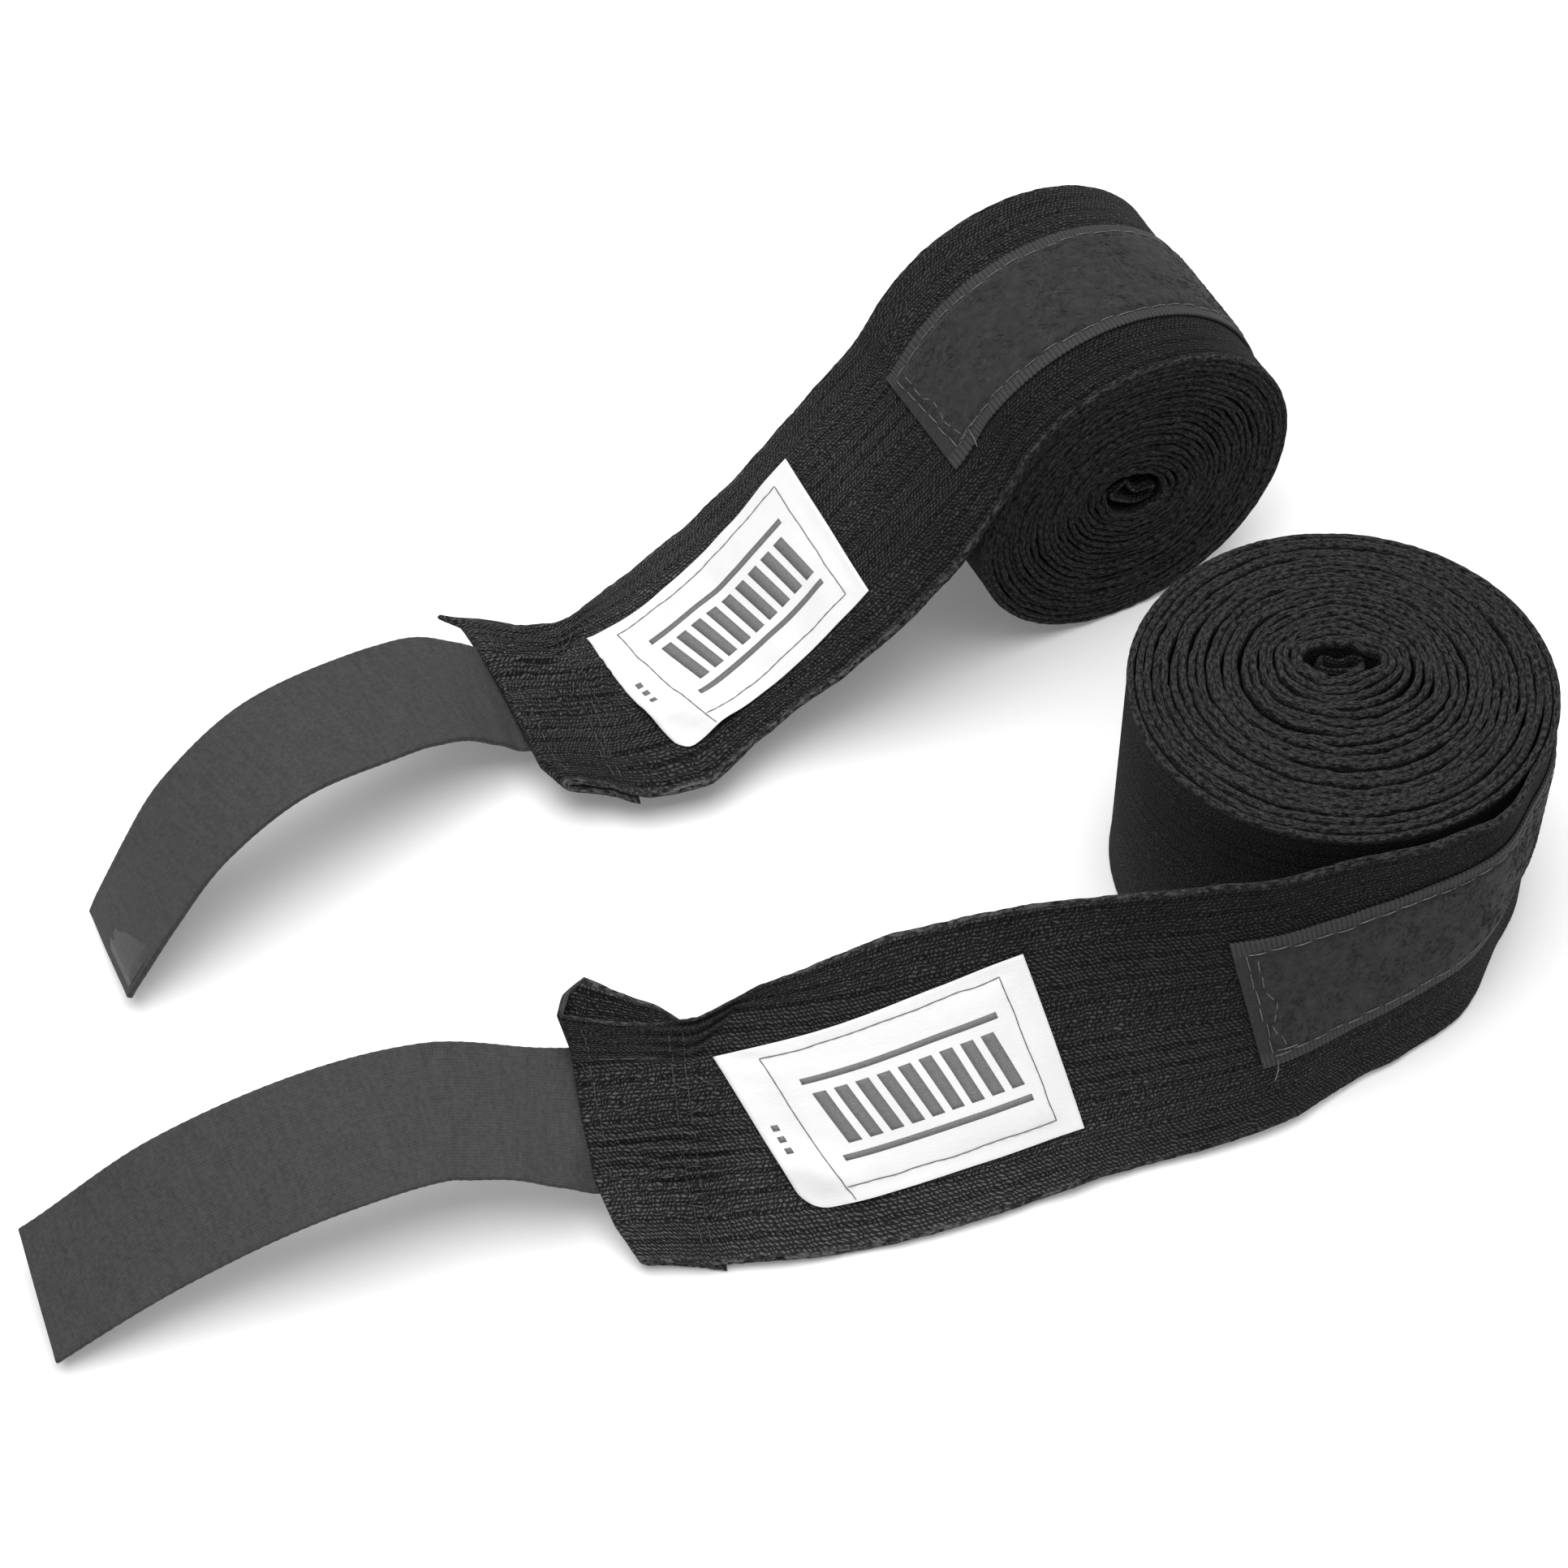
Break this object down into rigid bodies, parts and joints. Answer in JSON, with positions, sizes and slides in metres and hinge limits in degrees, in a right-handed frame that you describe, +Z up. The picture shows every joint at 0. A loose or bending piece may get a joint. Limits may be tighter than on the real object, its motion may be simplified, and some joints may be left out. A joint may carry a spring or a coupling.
{
  "type": "hand wrap pair",
  "caption": "Pair of woven cotton hand wraps rolled up, each with a thumb loop in its core, a loop patch, a sewn label and a hook strap on its turned-under end.",
  "frame": {"origin": "foot of the upright roll's axis, on the floor", "axes": "+Z up, +X along the length of the pair from the straps to the rolls, +Y from the upright wrap to the lying one"},
  "size_m": [0.2623, 0.2236, 0.0672],
  "materials": {
    "woven_tape": "matt herringbone cotton",
    "strap_backing": "smooth woven nylon, slightly satin",
    "hook_plastic": "rows of small nylon hooks",
    "patch_backing": "ribbed selvedge",
    "loop_pile": "brushed loop pile",
    "label_satin": "printed white satin",
    "grey_thread": "spun polyester thread",
    "black_thread": "spun polyester thread"
  },
  "bodies": {
    "front_roll": {"front_rolled_tape": "woven_tape", "front_tape_run": "woven_tape", "front_thumb_loop": "woven_tape", "front_thumb_loop_bartack": "black_thread", "front_loop_patch": "patch_backing", "front_loop_pile": "loop_pile", "front_patch_stitching": "grey_thread"},
    "front_tail": {"front_tape_tail": "woven_tape", "front_label": "label_satin", "front_label_stitching": "grey_thread", "front_strap_root": "strap_backing", "front_hem_stitching": "black_thread"},
    "front_strap": {"front_hook_strap": "strap_backing", "front_hook_field": "hook_plastic"},
    "rear_roll": {"rear_rolled_tape": "woven_tape", "rear_tape_run": "woven_tape", "rear_thumb_loop": "woven_tape", "rear_thumb_loop_bartack": "black_thread", "rear_loop_patch": "patch_backing", "rear_loop_pile": "loop_pile", "rear_patch_stitching": "grey_thread"},
    "rear_tail": {"rear_tape_tail": "woven_tape", "rear_label": "label_satin", "rear_label_stitching": "grey_thread", "rear_strap_root": "strap_backing", "rear_hem_stitching": "black_thread"},
    "rear_strap": {"rear_hook_strap": "strap_backing", "rear_hook_field": "hook_plastic"}
  },
  "joints": [
    {"name": "front_tail_lift", "type": "hinge", "parent": "front_roll", "child": "front_tail", "pos_m": [-0.018, -0.05, 0.0235], "axis": [-0.1901, 0.3995, 0.8968], "range_deg": [0, 40]},
    {"name": "front_strap_fold", "type": "hinge", "parent": "front_tail", "child": "front_strap", "pos_m": [-0.13065, -0.06625, 0.01383], "axis": [-0.0652, 0.839, 0.5402], "range_deg": [0, 80]},
    {"name": "rear_wrap_lift", "type": "slide", "parent": "front_roll", "child": "rear_roll", "axis": [0, 0, 1], "range_m": [0, 0.15]},
    {"name": "rear_tail_lift", "type": "hinge", "parent": "rear_roll", "child": "rear_tail", "pos_m": [-0.0695, 0.0653, 0.046], "axis": [-0.5081, 0.8602, -0.0441], "range_deg": [0, 40]},
    {"name": "rear_strap_fold", "type": "hinge", "parent": "rear_tail", "child": "rear_strap", "pos_m": [-0.15158, 0.02925, 0.00844], "axis": [-0.2856, 0.9579, -0.0296], "range_deg": [0, 80]}
  ]
}
